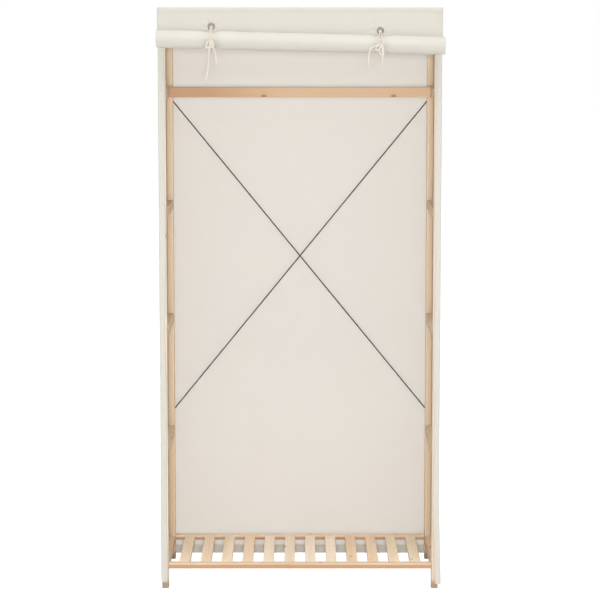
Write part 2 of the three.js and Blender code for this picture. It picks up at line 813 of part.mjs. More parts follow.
function bow(tails, loops) {
  const knot = new THREE.SphereGeometry(cordRadius, roundSides, cordSides);
  knot.scale(knotWidth / cordDiameter, knotDepth / cordDiameter, knotHeight / cordDiameter);
  const round = regularOutline(cordRadius, cordSides);
  const pieces = tails.map((tail) => {
    const points = tail.map(([x, z], index) => new THREE.Vector3(x, index ? -bowStandOff : 0, z));
    return tube(round, points, 2 * tail.length);
  });
  loops.forEach(({ lean, length, width }, index) => {
    const points = Array.from({ length: loopSteps + 1 }, (_, step) => {
      const angle = (2 * Math.PI * step) / loopSteps;
      const along = (length * (1 - Math.cos(angle))) / 2;
      const across = (width / 2) * Math.sin(angle) * Math.sin(angle / 2);
      const depth = -bowStandOff * Math.sin(angle / 2) - (index * cordDiameter) / 4;
      return new THREE.Vector3(
        across * Math.cos(lean) + along * Math.sin(lean),
        depth,
        across * Math.sin(lean) - along * Math.cos(lean),
      );
    });
    pieces.push(tube(round, points, roundSides));
  });
  return join([knot, ...pieces]);
}

const bows = [
  { name: "left", tails: [leftTail, leftShortTail], loops: leftLoops },
  { name: "right", tails: [rightTail, rightShortTail], loops: rightLoops },
];
bows.forEach(({ name, tails, loops }, index) => {
  const place = tiePlaces[index];
  const height = rollHeight(place);
  const hold = tube(strandOutline, holdPoints(), holdSteps);
  add(`tie_${name}_hold`, geometryOf(solidOf(hold)), cordFinish).position.set(place, 0, height);
  add(`tie_${name}_bow`, bow(tails, loops), cordFinish).position.set(place, knotY, height);
});

// The wardrobe stands with the centre of its outline over the origin. The bows are left out of it.
const outline = new THREE.Box3();
for (const mesh of wardrobe.children) if (!mesh.name.endsWith("_bow")) outline.expandByObject(mesh);
const centre = outline.getCenter(new THREE.Vector3());
wardrobe.position.set(-centre.x, -centre.y, 0);

export default wardrobe;
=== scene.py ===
import json
import math

import bmesh
import bpy
import numpy as np
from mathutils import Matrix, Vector


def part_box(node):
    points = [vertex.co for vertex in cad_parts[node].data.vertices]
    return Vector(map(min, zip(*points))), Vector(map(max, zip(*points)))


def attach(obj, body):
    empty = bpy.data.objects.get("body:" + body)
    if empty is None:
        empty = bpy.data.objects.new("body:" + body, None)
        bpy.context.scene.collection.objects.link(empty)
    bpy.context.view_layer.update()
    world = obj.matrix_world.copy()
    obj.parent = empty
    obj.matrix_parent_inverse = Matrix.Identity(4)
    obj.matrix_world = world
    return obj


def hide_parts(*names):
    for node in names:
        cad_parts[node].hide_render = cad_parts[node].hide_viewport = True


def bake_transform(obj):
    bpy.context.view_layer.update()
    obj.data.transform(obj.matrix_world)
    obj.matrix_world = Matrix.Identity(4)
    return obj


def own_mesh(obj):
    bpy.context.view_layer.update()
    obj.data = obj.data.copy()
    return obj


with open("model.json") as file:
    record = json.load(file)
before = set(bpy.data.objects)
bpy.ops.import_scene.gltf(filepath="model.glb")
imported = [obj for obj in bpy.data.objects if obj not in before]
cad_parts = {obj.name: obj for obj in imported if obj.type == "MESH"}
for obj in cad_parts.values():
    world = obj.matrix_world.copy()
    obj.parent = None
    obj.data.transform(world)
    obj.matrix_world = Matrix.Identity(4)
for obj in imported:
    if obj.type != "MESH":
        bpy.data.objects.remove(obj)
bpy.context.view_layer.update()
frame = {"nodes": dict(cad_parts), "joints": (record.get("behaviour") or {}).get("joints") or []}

# Viewpoint: 6.5 m in front of the open wardrobe, at the height of the rolled door, so that the
# shelf's slats show from above and the cover's top doesn't. It looks down a little.
picture_width = 600
lens_pixels = 2269
camera_tilt = math.radians(6.48)


def placed(name, data):
    """A new object in the scene for this camera, lamp or mesh."""
    made = bpy.data.objects.new(name, data)
    bpy.context.scene.collection.objects.link(made)
    return made


camera_data = bpy.data.cameras.new("camera")
camera_data.sensor_width = 36
camera_data.lens = camera_data.sensor_width * lens_pixels / picture_width
camera_data.shift_y = -0.03
camera = placed("camera", camera_data)
camera.location = (-0.0026, -6.7148, 1.6507)
camera.rotation_euler = (math.pi / 2 - camera_tilt, 0, 0)
bpy.context.scene.camera = camera
bpy.context.scene.view_settings.view_transform = "Standard"


# Room: a white floor that runs back into white surroundings, and five soft lamps, in front, on both
# sides, above and behind. The floor keeps a faint shadow of the wardrobe.
def linear(red, green, blue):
    """A colour written from 0 to 255, as the linear red, green, blue and alpha of a shader."""
    shade = np.array([red, green, blue]) / 255
    bright = np.where(shade <= 0.04045, shade / 12.92, ((shade + 0.055) / 1.055) ** 2.4)
    return (*bright.tolist(), 1)


class Socket:
    """One output of a material's nodes. Arithmetic on it adds Math nodes to the same tree."""

    def __init__(self, tree, output=None):
        self.tree = tree
        self.output = output

    def node(self, kind, settings=(), sockets=(), output=0):
        """Adds a node of this kind. Its settings come first, then each socket's value or link."""
        made = self.tree.nodes.new("ShaderNode" + kind)
        for name, value in dict(settings).items():
            setattr(made, name, value)
        for place, value in dict(sockets).items():
            if isinstance(value, Socket):
                self.tree.links.new(value.output, made.inputs[place])
            else:
                made.inputs[place].default_value = value
        return Socket(self.tree, made.outputs[output] if made.outputs else None)

    def maths(self, operation, *values):
        return self.node("Math", {"operation": operation}, enumerate(values))

    def vector_maths(self, operation, *values, output=0):
        return self.node("VectorMath", {"operation": operation}, enumerate(values), output)

    def mix(self, first, second):
        """The first colour where this value is 0, and the second where it is 1."""
        return self.node("Mix", {"data_type": "RGBA"}, {0: self, 6: first, 7: second}, 2)

    def noise(self, scale, detail=2.0):
        """Noise from 0 to 1 over this vector, with about scale grains to a metre."""
        return self.node("TexNoise", sockets={"Vector": self, "Scale": scale, "Detail": detail})

    def sine(self):
        return self.maths("SINE", self)

    def within(self, low, high):
        """This value, held between low and high."""
        return self.maths("MINIMUM", self.maths("MAXIMUM", self, low), high)

    def __add__(self, other):
        return self.maths("ADD", self, other)

    def __sub__(self, other):
        return self.maths("SUBTRACT", self, other)

    def __rsub__(self, other):
        return self.maths("SUBTRACT", other, self)

    def __mul__(self, other):
        return self.maths("MULTIPLY", self, other)

    def __pow__(self, other):
        return self.maths("POWER", self, other)

    __radd__ = __add__
    __rmul__ = __mul__


def new_finish(name):
    """A material without nodes, and the socket that its nodes grow from."""
    material = bpy.data.materials.new(name)
    material.use_nodes = True
    material.node_tree.nodes.clear()
    return material, Socket(material.node_tree)


def seen_directly(root):
    """1 for what the camera sees, straight, in a reflection or through glass, and 0 for light."""
    seen = [root.node("LightPath", output=output) for output in (0, 3, 6)]
    return seen[0].maths("MAXIMUM", seen[0], seen[1].maths("MAXIMUM", seen[1], seen[2]))


room_light = 0.36
world = bpy.data.worlds.new("white_room")
world.use_nodes = True
world.node_tree.nodes.clear()
root = Socket(world.node_tree)
strength = room_light + (1 - room_light) * seen_directly(root)
background = root.node("Background", sockets={"Color": (1, 1, 1, 1), "Strength": strength})
root.node("OutputWorld", sockets={"Surface": background})
bpy.context.scene.world = world

floor_half = 20
floor_glow = 0.94
floor_mesh = bpy.data.meshes.new("floor")
floor_signs = ((-1, -1), (1, -1), (1, 1), (-1, 1))
floor_corners = [(x * floor_half, y * floor_half, 0) for x, y in floor_signs]
floor_mesh.from_pydata(floor_corners, [], [(0, 1, 2, 3)])
floor = placed("floor", floor_mesh)
floor_paint, root = new_finish("floor_white")
lit = root.node("BsdfDiffuse", sockets={"Color": (0.7, 0.7, 0.69, 1)})
dim = root.node("BsdfDiffuse", sockets={"Color": (0.34, 0.34, 0.335, 1)})
glow = root.node("Emission", sockets={"Color": (1, 1, 1, 1), "Strength": floor_glow})
shown = root.node("AddShader", sockets={0: dim, 1: glow})
floor_shader = root.node("MixShader", sockets={0: seen_directly(root), 1: lit, 2: shown})
root.node("OutputMaterial", sockets={"Surface": floor_shader})
floor_mesh.materials.append(floor_paint)

# Each lamp's name, place, width, and the brightness that it gives a white surface at lamp_aim.
lamp_aim = Vector((0, 0, 0.9))
lamps = [
    ("lamp_front", (0.0, -7.5, 1.62), 0.7, 0.6),
    ("lamp_left", (-5.0, 0.4, 1.9), 2.6, 0.24),
    ("lamp_right", (5.0, 0.4, 1.6), 2.6, 0.26),
    ("lamp_above", (0.0, -2.8, 12.6), 5.6, 0.7),
    ("lamp_behind", (0.0, 4.6, 3.0), 3.6, 0.54),
]
for name, place, width, share in lamps:
    lamp = bpy.data.lights.new(name, "AREA")
    lamp.size = width
    sight = lamp_aim - Vector(place)
    lamp.energy = share * math.pi**2 * sight.length_squared
    holder = placed(name, lamp)
    holder.location = place
    holder.rotation_euler = sight.to_track_quat("-Z", "Y").to_euler()


# Timber: planed, untreated pine. The posts' grain runs upright, the rungs' and slats' from front to
# back, and the rails' across. Each bar is cut from its own place in a log, with a few small knots.
def finish(material, colour, roughness, height, depth, through=None, **fixed):
    """Joins a colour, a roughness and a height to a material's shader. The rest is fixed. through
    is the share of the light that passes to the other side, as in thin cloth, and its colour."""
    root = Socket(material.node_tree)
    sockets = {"Base Color": colour, "Roughness": roughness}
    sockets["Normal"] = root.node("Bump", sockets={"Height": height, "Distance": depth})
    for socket, value in fixed.items():
        sockets[socket.replace("_", " ")] = value
    shader = root.node("BsdfPrincipled", sockets=sockets)
    if through:
        share, tint = through
        passed = root.node("BsdfTranslucent", sockets={"Color": tint})
        shader = root.node("MixShader", sockets={0: share, 1: shader, 2: passed})
    root.node("OutputMaterial", sockets={"Surface": shader})
    return material


ring_width = 0.0031
ring_push = 0.0035
knot_half_width = 0.0055
knot_half_length = 0.0085
foot_dark_height = 0.03
warm_band = linear(205, 162, 122)
brown_fibre = linear(190, 148, 108)
# The next colour is darker heartwood on the hanging rail, and painted shade on the shelf rails'
# front faces.
heartwood_and_painted_shade = linear(180, 138, 101)
knot_brown = linear(139, 92, 56)
foot_dark_colour = linear(134, 116, 92)


def pine(name, axis, low, high, knots, seed, shades, heart_and_painted_shade=None):
    """Rings round a pith that lies beside the bar, so a face shows them as long bands. The radius
    from the pith, plus a slow wander along the bar, is cut into rings, each paler where it starts
    and darker where it ends. A knot is a small dark ellipse that pushes the rings aside. The last
    argument says along which axis the bar turns darker, from one place to another, and how far:
    darker heartwood on the hanging rail, and painted shade down the shelf rails' front faces,
    below tops left pale as if lit from above."""
    rng = np.random.default_rng(seed)
    material, root = new_finish(name)
    place = root.node("TexCoord", output=3)
    across = [i for i in range(3) if i != axis]
    centre = (np.array(low) + np.array(high)) / 2
    split = [root.node("SeparateXYZ", sockets={0: place}, output=i) for i in range(3)]

    def stretched(along_scale, across_scale):
        """The place, scaled by one number along the bar and by another across it."""
        scale = [across_scale] * 3
        scale[axis] = along_scale
        return place.vector_maths("MULTIPLY", place, scale)

    angle, distance, slope = rng.uniform((0, 0.03, -0.012), (math.tau, 0.07, 0.012))
    pith = centre[across] + distance * np.array([math.cos(angle), math.sin(angle)])
    beside = [split[i] - float(p) for i, p in zip(across, pith)]
    wander = (stretched(1.6, 14).noise(1.0, 1.0) - 0.5) * 0.009
    radius = (beside[0] * beside[0] + beside[1] * beside[1]) ** 0.5
    radius = radius + wander + split[axis] * float(slope)

    knot_mask = None
    scale = np.full(3, 1 / knot_half_width)
    scale[axis] = 1 / knot_half_length
    scaled = place.vector_maths("MULTIPLY", place, scale.tolist())
    for spot in knots:
        gap = place.vector_maths("DISTANCE", scaled, (np.array(spot) * scale).tolist(), output=1)
        near = (1.6 - gap).within(0.0, 1.0)
        radius = radius + near * ring_push
        dark = (1.35 - gap).within(0.0, 1.0)
        knot_mask = dark if knot_mask is None else knot_mask.maths("MAXIMUM", knot_mask, dark)

    rings = radius * (1 / ring_width)
    late = rings.maths("FRACT", rings) ** 3
    fibre = stretched(30, 900).noise(1.0, 3.0)
    tone = stretched(1.2, 22).noise(1.0, 2.0)
    early_wood, late_wood = (linear(*shade) for shade in shades)
    colour = (late * 0.6).mix(early_wood, late_wood)
    colour = ((tone - 0.42) * 1.1).within(0.0, 0.75).mix(colour, warm_band)
    # Upright bars turn darker in their lowest few centimetres, towards the floor.
    if axis == 2:
        foot_darkening = ((foot_dark_height - split[2]) * 50.0).within(0.0, 0.8)
        colour = foot_darkening.mix(colour, foot_dark_colour)
    # Darker heartwood on the hanging rail; painted shade down the shelf rails' front faces below
    # their pale tops.
    if heart_and_painted_shade:
        towards, pale, darkest_at, most = heart_and_painted_shade
        darkening = (split[towards] - pale) * (1 / (darkest_at - pale)) + (tone - 0.5) * 0.6
        colour = (darkening.within(0.0, 1.0) * most).mix(colour, heartwood_and_painted_shade)
    colour = ((fibre - 0.5) * 0.5).within(0.0, 0.4).mix(colour, brown_fibre)
    if knot_mask is not None:
        colour = (knot_mask * 0.85).mix(colour, knot_brown)
    height = late * 0.35 + fibre * 0.65
    roughness = 0.52 + fibre * 0.16
    return finish(material, colour, roughness, height, 0.00035, Specular_IOR_Level=0.35)


# Early and late wood of each kind of bar. The first of these names that a bar's has in it counts.
timber_shades = {
    "post_front": ((214, 200, 182), (203, 186, 164)),
    "post": ((219, 197, 170), (203, 171, 137)),
    "rung": ((222, 201, 174), (206, 175, 141)),
    "pale slat": ((239, 223, 203), (228, 207, 179)),
    "yellow slat": ((238, 220, 194), (226, 201, 166)),
    "pink slat": ((235, 210, 182), (226, 190, 153)),
    "hanging": ((203, 173, 141), (181, 145, 110)),
    "shelf_rail_front": ((226, 206, 180), (212, 188, 158)),
    "shelf_rail_back": ((234, 214, 190), (222, 196, 166)),
    "rail": ((222, 192, 160), (198, 158, 122)),
}
slat_kinds = "yellow yellow yellow pink pale pale pale pale pink pink yellow yellow".split()
timber_parts = ("post", "rung", "top_r", "shelf_slat")
timber_nodes = sorted(name for name in frame["nodes"] if name.startswith(timber_parts))
timber_nodes += ["hanging_rail", "shelf_rail_front", "shelf_rail_back"]
rail_knots = (-0.1097, 0.2741)
shelf_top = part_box("shelf_rail_front")[1].z
# Bars that turn darker in one part: its axis, where it starts, where it is full, its share. On the
# hanging rail this is darker heartwood. On the shelf rails it is painted shade down the front
# face, below a top left pale as if lit from above.
hearts_and_painted_shade = {
    "hanging_rail": (0, -0.05, -0.26, 0.8),
    "shelf_rail_front": (2, shelf_top + 0.0005, shelf_top - 0.0045, 0.95),
    "shelf_rail_back": (2, shelf_top, shelf_top - 0.006, 0.55),
}
for seed, name in enumerate(timber_nodes):
    low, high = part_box(name)
    axis = int(np.argmax(np.array(high) - np.array(low)))
    rng = np.random.default_rng(100 + seed)
    long = high[axis] - low[axis]
    knots = rng.uniform(low, high, (rng.poisson(3.0 * long), 3))
    if name == "hanging_rail":
        knots = [(along, low.y, low.z + 0.003) for along in rail_knots]
    kind = slat_kinds[int(name[-2:]) - 1] + " slat" if "slat" in name else name
    shades = next(pair for part, pair in timber_shades.items() if part in kind)
    wood = pine("pine_" + name, axis, low, high, knots, seed, shades, hearts_and_painted_shade.get(name))
    frame["nodes"][name].data.materials.clear()
    frame["nodes"][name].data.materials.append(wood)


# Metal: the brace wires are steel rod with a dark coat, looped round the screws that hold them to
# the back posts. The screws are zinc plated.
def plated(name, shade, metallic, rough, scratch):
    """Metal with a faint cloud in its colour and a roughness that varies a little over it."""
    material, root = new_finish(name)
    place = root.node("TexCoord", output=3)
    cloud = place.noise(260.0, 3.0)
    fine = place.noise(2400.0, 2.0)
    colour = (cloud * 0.35).mix(linear(*shade), linear(*(0.7 * np.array(shade))))
    return finish(material, colour, rough + fine * scratch, fine, 0.00005, Metallic=metallic)


wire_coat = plated("wire_coat", (44, 41, 37), 0.15, 0.45, 0.2)
zinc = plated("zinc", (196, 197, 194), 1.0, 0.26, 0.2)
for name, node in frame["nodes"].items():
    if "wire" in name or "screw" in name:
        node.data.materials.clear()
        node.data.materials.append(wire_coat if "wire" in name else zinc)


# Cloth of the cover: one off-white plain weave, 0.8 mm with its coating. Every panel is a grid whose
# UV is in metres of cloth, so the threads keep their size and follow the folds.
cloth_thickness = 0.0008
thread_pitch = 0.0009
cloth_shadow = linear(232, 225, 214)


def surface(name, points, uv, material, around=False, keep=None):
    """A mesh over a grid of points of shape (rows, columns, 3). Each face joins a point to the next
    ones along both ways, and around joins the last column to the first. keep leaves faces out.
    Points in the same place become one, which closes the pole of a row that has no width."""
    rows, columns = points.shape[:2]
    spans = columns if around else columns - 1
    row, column = np.meshgrid(np.arange(rows - 1), np.arange(spans), indexing="ij")

    def corners(width, right):
        """Each face's four points in a grid of this width, where right is the next column."""
        below = (row + 1) * width
        ring = [row * width + column, row * width + right, below + right, below + column]
        return np.stack(ring, -1).reshape(-1, 4)

    faces = corners(columns, (column + 1) % columns)
    uv_corners = corners(uv.shape[1], column + 1)
    if keep is not None:
        faces, uv_corners = faces[keep.ravel()], uv_corners[keep.ravel()]
    mesh = bpy.data.meshes.new(name)
    mesh.from_pydata(points.reshape(-1, 3).tolist(), [], faces.tolist())
    mesh.uv_layers.new(name="UVMap").data.foreach_set("uv", uv.reshape(-1, 2)[uv_corners].ravel())
    shape = bmesh.new()
    shape.from_mesh(mesh)
    bmesh.ops.remove_doubles(shape, verts=shape.verts, dist=1e-6)
    shape.to_mesh(mesh)
    shape.free()
    mesh.polygons.foreach_set("use_smooth", np.ones(len(mesh.polygons), bool))
    mesh.materials.append(material)
    return placed(name, mesh)


def woven(name, shade):
    """A plain weave: the product of two sine waves, one for each set of threads, with threads that
    swell and thin at random. Broad noise adds the soft creases that are too small for the mesh.
    Light that comes through has the mean of the threads' two shades."""
    material, root = new_finish(name)
    uv = root.node("TexCoord", output=2)
    u, v = (root.node("SeparateXYZ", sockets={0: uv}, output=i) for i in (0, 1))
    weave = (u * (math.tau / thread_pitch)).sine() * (v * (math.tau / thread_pitch)).sine()
    warp = uv.vector_maths("MULTIPLY", uv, (900.0, 35.0, 1.0)).noise(1.0, 2.0)
    weft = uv.vector_maths("MULTIPLY", uv, (35.0, 900.0, 1.0)).noise(1.0, 2.0)
    crease = uv.noise(34.0, 3.0)
    height = weave * 0.06 + (warp + weft) * 0.12 + crease
    slub = (warp + weft - 1.0) * 0.5
    pale, dark = linear(*shade), linear(*(0.955 * np.array(shade)))
    colour = (0.5 + slub).within(0.0, 1.0).mix(pale, dark)
    colour = ((uv.noise(5.0, 2.0) - 0.5) * 0.8).within(0.0, 1.0).mix(colour, cloth_shadow)
    roughness = 0.86 + slub * 0.1
    through = (0.35, np.mean([pale, dark], axis=0).tolist())
    return finish(
        material, colour, roughness, height, 0.0011,
        through=through, Specular_IOR_Level=0.25, Sheen_Weight=0.08,
    )


cover_cloth = woven("woven_cloth", (234, 231, 222))
# The inside is a brighter, bluer copy of the same cloth: painted light that lifts the shade inside
# the cover and cools its warm bounce light.
inner_cloth_painted_light = woven("woven_cloth_inside_painted_light", (237, 234, 231))


def thicken(piece, outwards=1):
    """Gives a sheet its thickness. outwards is -1 where its faces look to the side that is to be
    the inside, which gets the second material: a brighter, bluer copy of the cloth as painted light."""
    if outwards < 0:
        piece.data.flip_normals()
    piece.data.materials.append(inner_cloth_painted_light)
    solid = piece.modifiers.new("cloth", "SOLIDIFY")
    solid.thickness = cloth_thickness
    solid.offset = 0
    solid.material_offset = 1
    return piece


def filleted(corners, radii, steps=6):
    """A line through corners, each inner one rounded by an arc of its radius that touches both of
    its sides. The arc's points turn evenly about its centre."""
    corners = np.array(corners, float)
    line = [corners[:1]]
    for before, corner, after, radius in zip(corners, corners[1:], corners[2:], radii):
        back = (before - corner) / np.linalg.norm(before - corner)
        on = (after - corner) / np.linalg.norm(after - corner)
        half = math.acos(np.clip(back @ on, -1, 1)) / 2
        centre = corner + (back + on) / np.linalg.norm(back + on) * radius / math.sin(half)
        turn = math.pi - 2 * half
        first = corner + back * radius / math.tan(half) - centre
        last = corner + on * radius / math.tan(half) - centre
        share = np.linspace(0, 1, steps)[:, None] * turn
        line.append(centre + (first * np.sin(turn - share) + last * np.sin(share)) / math.sin(turn))
    line.append(corners[-1:])
    return np.concatenate(line)


def distances(line):
    """How far along a line each of its points lies."""
    return np.concatenate([[0], np.cumsum(np.linalg.norm(np.diff(line, axis=0), axis=1))])


def walked(line, places):
    """The points of a line at these distances along it."""
    lengths = distances(line)
    return np.stack([np.interp(places, lengths, part) for part in line.T], -1)


def creases(u, v, size, seed, count=10):
    """Soft random creases from 0 to 1: the mean of sine waves with random directions, phases, and
    lengths near size."""
    rng = np.random.default_rng(seed)
    shape = (count,) + (1,) * np.ndim(u)
    angle, phase = (rng.uniform(0, math.tau, shape) for _ in range(2))
    length = size * rng.uniform(0.6, 1.7, shape)
    waves = np.sin((u * np.cos(angle) + v * np.sin(angle)) * math.tau / length + phase)
    return np.clip(0.5 + 0.28 * waves.sum(0) / math.sqrt(count / 2), 0, 1)


def grid_normals(points):
    """The unit normal at each point of a grid: the cross product of its two directions."""
    normal = np.cross(np.gradient(points, axis=1), np.gradient(points, axis=0))
    return normal / np.maximum(np.linalg.norm(normal, axis=2, keepdims=True), 1e-12)


def plan_inwards(plan):
    """The inward direction at each point of a plan: across the line, to its left."""
    step = np.gradient(plan, axis=0)
    return np.stack([-step[:, 1], step[:, 0]], -1) / np.linalg.norm(step, axis=1)[:, None]


panel_rows = 150
hem_down_rows = 5
hem_turn_rows = 6


def hem_rows(drop, hem, gap, rows=panel_rows):
    """Rows of a panel that falls by drop, turns under and comes up again by hem, a gap behind.
    Gives how far down each row is, how far in, and how far along the cloth."""
    upper = np.linspace(0, drop - hem, rows)
    lower = np.linspace(drop - hem, drop - gap, hem_down_rows + 2)[1:-1]
    turn = np.linspace(0, math.pi, hem_turn_rows)
    behind = np.linspace(drop - gap, drop - hem, hem_down_rows + 1)[1:]
    down = np.concatenate([upper, lower, drop - gap + gap / 2 * np.sin(turn), behind])
    inwards = [upper * 0, lower * 0, gap / 2 * (1 - np.cos(turn)), np.full(hem_down_rows, gap)]
    inwards = np.concatenate(inwards)
    return down, inwards, distances(np.stack([down, inwards], -1))


def cloth_piece(name, points, across, along, nodes, flat, keep=None, outwards=1):
    """A finished piece of the cover: its grid, its thickness, and the CAD nodes it stands for."""
    uv = np.stack(np.broadcast_arrays(across[None, :], along[:, None]), -1)
    piece = thicken(surface(name, points, uv, cover_cloth, keep=keep), outwards)
    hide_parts(*nodes)
    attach(piece, "cover")


# Side pieces: each side is one piece of cloth that turns round the front post into a narrow strip
# with a loose hemmed edge, and laps over the back panel behind the back post.
left_inner, right_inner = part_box("cover_left_panel")[1].x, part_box("cover_right_panel")[0].x
middle = (left_inner + right_inner) / 2
side_reach = (right_inner - left_inner) / 2 + cloth_thickness / 2
half_panel = 0.00075
strip_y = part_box("cover_left_facing")[1].y - half_panel
strip_inner = 0.3908
lap_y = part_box("cover_right_panel")[1].y + 0.0007
cloth_top = 1.690
hem_height = 0.026
hem_gap = 0.0011
strip_lap = 0.008
flare_height = 0.26
flare_reach = 0.007
edge_point, corner_point = 8, 13
edge_columns, strip_columns, side_columns, lap_columns = 4, 14, 52, 14
turned_faces = 5
strip_seam, lap_seam = 8, -4
stitch_lines = []


def stitched(points, normals, lift=0.0005):
    """Keeps a line of a panel's grid for the stitches that run along it."""
    stitch_lines.append((points + normals * lift, normals))


def side_piece(side, name, nodes, strip_rise, side_rise, seed):
    """One side of the cover: its plan, from the turned edge of the strip round the front post and
    along the side to the lap, carried down in rows. The strip waves with sines of the height, the
    side swells with a sine across it and random creases, and the right one flares at its foot."""
    plan = filleted(
        [
            (strip_inner + strip_lap, strip_y + hem_gap),
            (strip_inner, strip_y + hem_gap),
            (strip_inner, strip_y),
            (side_reach, strip_y),
            (side_reach, lap_y),
            (side_reach - 0.014, lap_y),
        ],
        [hem_gap / 2, hem_gap / 2, 0.005, 0.004],
    )
    reach = distances(plan)
    edge = reach[edge_point]
    corner = reach[corner_point] + 0.004
    back = reach[-1] - 0.017
    places = np.concatenate(
        [
            np.linspace(0, edge - 0.001, edge_columns),
            np.linspace(edge, corner, strip_columns),
            np.linspace(corner, back, side_columns)[1:],
            np.linspace(back, reach[-1], lap_columns)[1:],
        ]
    )
    base = walked(plan, places)
    inwards = plan_inwards(base)
    share = np.clip((places - corner) / (back - corner), 0, 1)
    rise = strip_rise + (side_rise - strip_rise) * np.clip(share * 10, 0, 1)
    down, inset, along = hem_rows(cloth_top - strip_rise, hem_height, hem_gap)
    z = cloth_top - down[:, None] * (cloth_top - rise) / (cloth_top - strip_rise)
    fall = 1 - z / cloth_top
    front = np.clip((corner - places) / (corner - edge), 0, 1)
    wave = 0.0022 * np.sin(7 * math.pi * fall + side) + 0.0006 * np.sin(23 * math.pi * fall + seed)
    wave = wave * np.sin(math.pi * np.clip(fall, 0, 1))
    window = np.sin(math.pi * share)
    swell = 0.0032 * fall * (0.5 + 0.5 * np.sin(3 * math.pi * share + 2 * side * fall))
    swell = swell + 0.0018 * creases(places + 0 * z, z, 0.35, seed)
    swell = swell + 0.0013 * creases(places + 0 * z, z * 0.3, 0.1, seed + 1)
    swell = swell * window * np.clip(12 * fall - 0.6, 0, 1)
    flare = flare_reach * np.clip(1 - z / flare_height, 0, 1) * (1 - share) ** 2 * (side > 0)
    ripple = 0.0005 * np.sin(15 * math.pi * fall + 2 * seed) * front
    x = base[:, 0] + inwards[:, 0] * inset[:, None] - wave * front + swell + flare
    y = base[:, 1] + inwards[:, 1] * inset[:, None] - ripple
    points = np.stack([middle + side * x, y, z], -1)
    if side > 0:
        points = points[:, ::-1]
        places = places[::-1]
    normals = -grid_normals(points)
    columns = np.arange(len(places))
    columns = columns[::-1] if side > 0 else columns
    hem_columns = columns[edge_columns + strip_columns : -lap_columns]
    stitched(points[panel_rows, hem_columns], normals[panel_rows, hem_columns])
    for column in (columns[strip_seam], columns[lap_seam]):
        stitched(points[:panel_rows, column], normals[:panel_rows, column])
    keep = np.ones((len(down) - 1, len(places) - 1), bool)
    turned = slice(None, turned_faces) if side < 0 else slice(-turned_faces, None)
    keep[panel_rows + hem_down_rows :, turned] = False
    cloth_piece(
        name, points, places, along, nodes, (reach[-1], along[-1]),
        keep,
    )


side_piece(-1, "cover_left", ["cover_left_panel", "cover_left_facing"], 0.020, 0.020, 3)
side_piece(1, "cover_right", ["cover_right_panel", "cover_right_facing"], 0.013, 0.010, 5)

# Back panel: hangs from the top between the two laps, in a few soft upright folds that grow
# downwards, and ends in a hem turned towards the inside.
back_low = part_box("cover_back_panel")[0]
back_half = side_reach - 0.0009
back_y = back_low.y + half_panel
across = np.linspace(-back_half, back_half, 150)
down, inset, along = hem_rows(cloth_top - back_low.z, hem_height, hem_gap)
share = (across + back_half) / (2 * back_half)
z = cloth_top - down[:, None] + 0 * across
fold = 1 - np.cos(10 * math.pi * share + np.sin(5 * share))
fold = 0.0015 * fold * np.sin(math.pi * share) * (1 - z / cloth_top)
soft = 0.0019 * creases(across + 0 * z, z, 0.45, 11)
soft = soft + 0.0012 * creases(across + 0 * z, z * 0.3, 0.1, 12)
fold = fold + soft * np.sin(math.pi * share) ** 0.5
points = np.stack([middle + across + 0 * z, back_y + fold - inset[:, None], z], -1)
normals = grid_normals(points)
hem_normals = normals[panel_rows] * np.sign(normals[panel_rows, :, 1:2])
stitched(points[panel_rows], hem_normals)
stitched(points[panel_rows], -hem_normals)
cloth_piece(
    "cover_back", points, across, along, ["cover_back_panel"], (2 * back_half, along[-1]),
)

# Valance: a flap over the top of the opening, turned round both corners, with a narrow hem. It
# flutters a little, and is drawn flat where the ties hold the roll.
eyelet_boxes = [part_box("eyelet_left"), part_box("eyelet_right")]
tie_places = np.array([(low.x + high.x) / 2 for low, high in eyelet_boxes])
tie_heights = np.array([(low.z + high.z) / 2 for low, high in eyelet_boxes])
roll_ends = np.array([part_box("door_roll")[0].x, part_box("door_roll")[1].x])
roll_end_heights = (1.6105, 1.5905)
valance_y = -0.1831
valance_reach = side_reach + 0.0010
valance_rise = 0.018
valance_hem = 0.014
valance_corner = 0.006
valance_return = 0.020
flap_drop = 0.07
flap_rows = 34
flap_flat_drop = 0.098
eyelet_hole = 0.0078


def roll_height(x):
    """The height of the roll's axis at x: a straight line between its ends."""
    return np.interp(x, roll_ends, roll_end_heights)


def drawn_in(x):
    """1 under a tie, and falling like a bell to 0 beside it."""
    beside = np.maximum(0, np.abs(np.asarray(x)[..., None] - tie_places) - 0.0045).min(-1)
    return np.exp(-((beside / 0.015) ** 2))


def holed(points):
    """Opens a grid round both eyelets: points inside a hole move out to its rim, and keep leaves
    out the faces that have all their corners there."""
    inside = np.zeros(points.shape[:2], bool)
    for place, height in zip(tie_places, tie_heights):
        offset = points[..., [0, 2]] - np.array([place, height])
        away = np.linalg.norm(offset, axis=-1)
        hit = (away < eyelet_hole) & (np.abs(points[..., 1] - valance_y) < 0.006)
        rim = offset * (eyelet_hole / np.maximum(away, 1e-9))[..., None] + np.array([place, height])
        points[..., [0, 2]] = np.where(hit[..., None], rim, points[..., [0, 2]])
        inside |= hit
    corners = inside[:-1, :-1] & inside[1:, :-1] & inside[:-1, 1:] & inside[1:, 1:]
    return points, ~corners


def finer_near(values, places, fine, coarse, reach=0.016):
    """Steps of coarse from the first value to the last, and of fine near the places."""
    low, high = values
    at = np.linspace(low, high, 4000)
    near = np.abs(at[:, None] - np.asarray(places)).min(1) < reach
    density = np.where(near, 1 / fine, 1 / coarse)
    count = np.concatenate([[0], np.cumsum((density[1:] + density[:-1]) / 2 * np.diff(at))])
    return np.interp(np.linspace(0, count[-1], int(round(count[-1])) + 1), count, at)


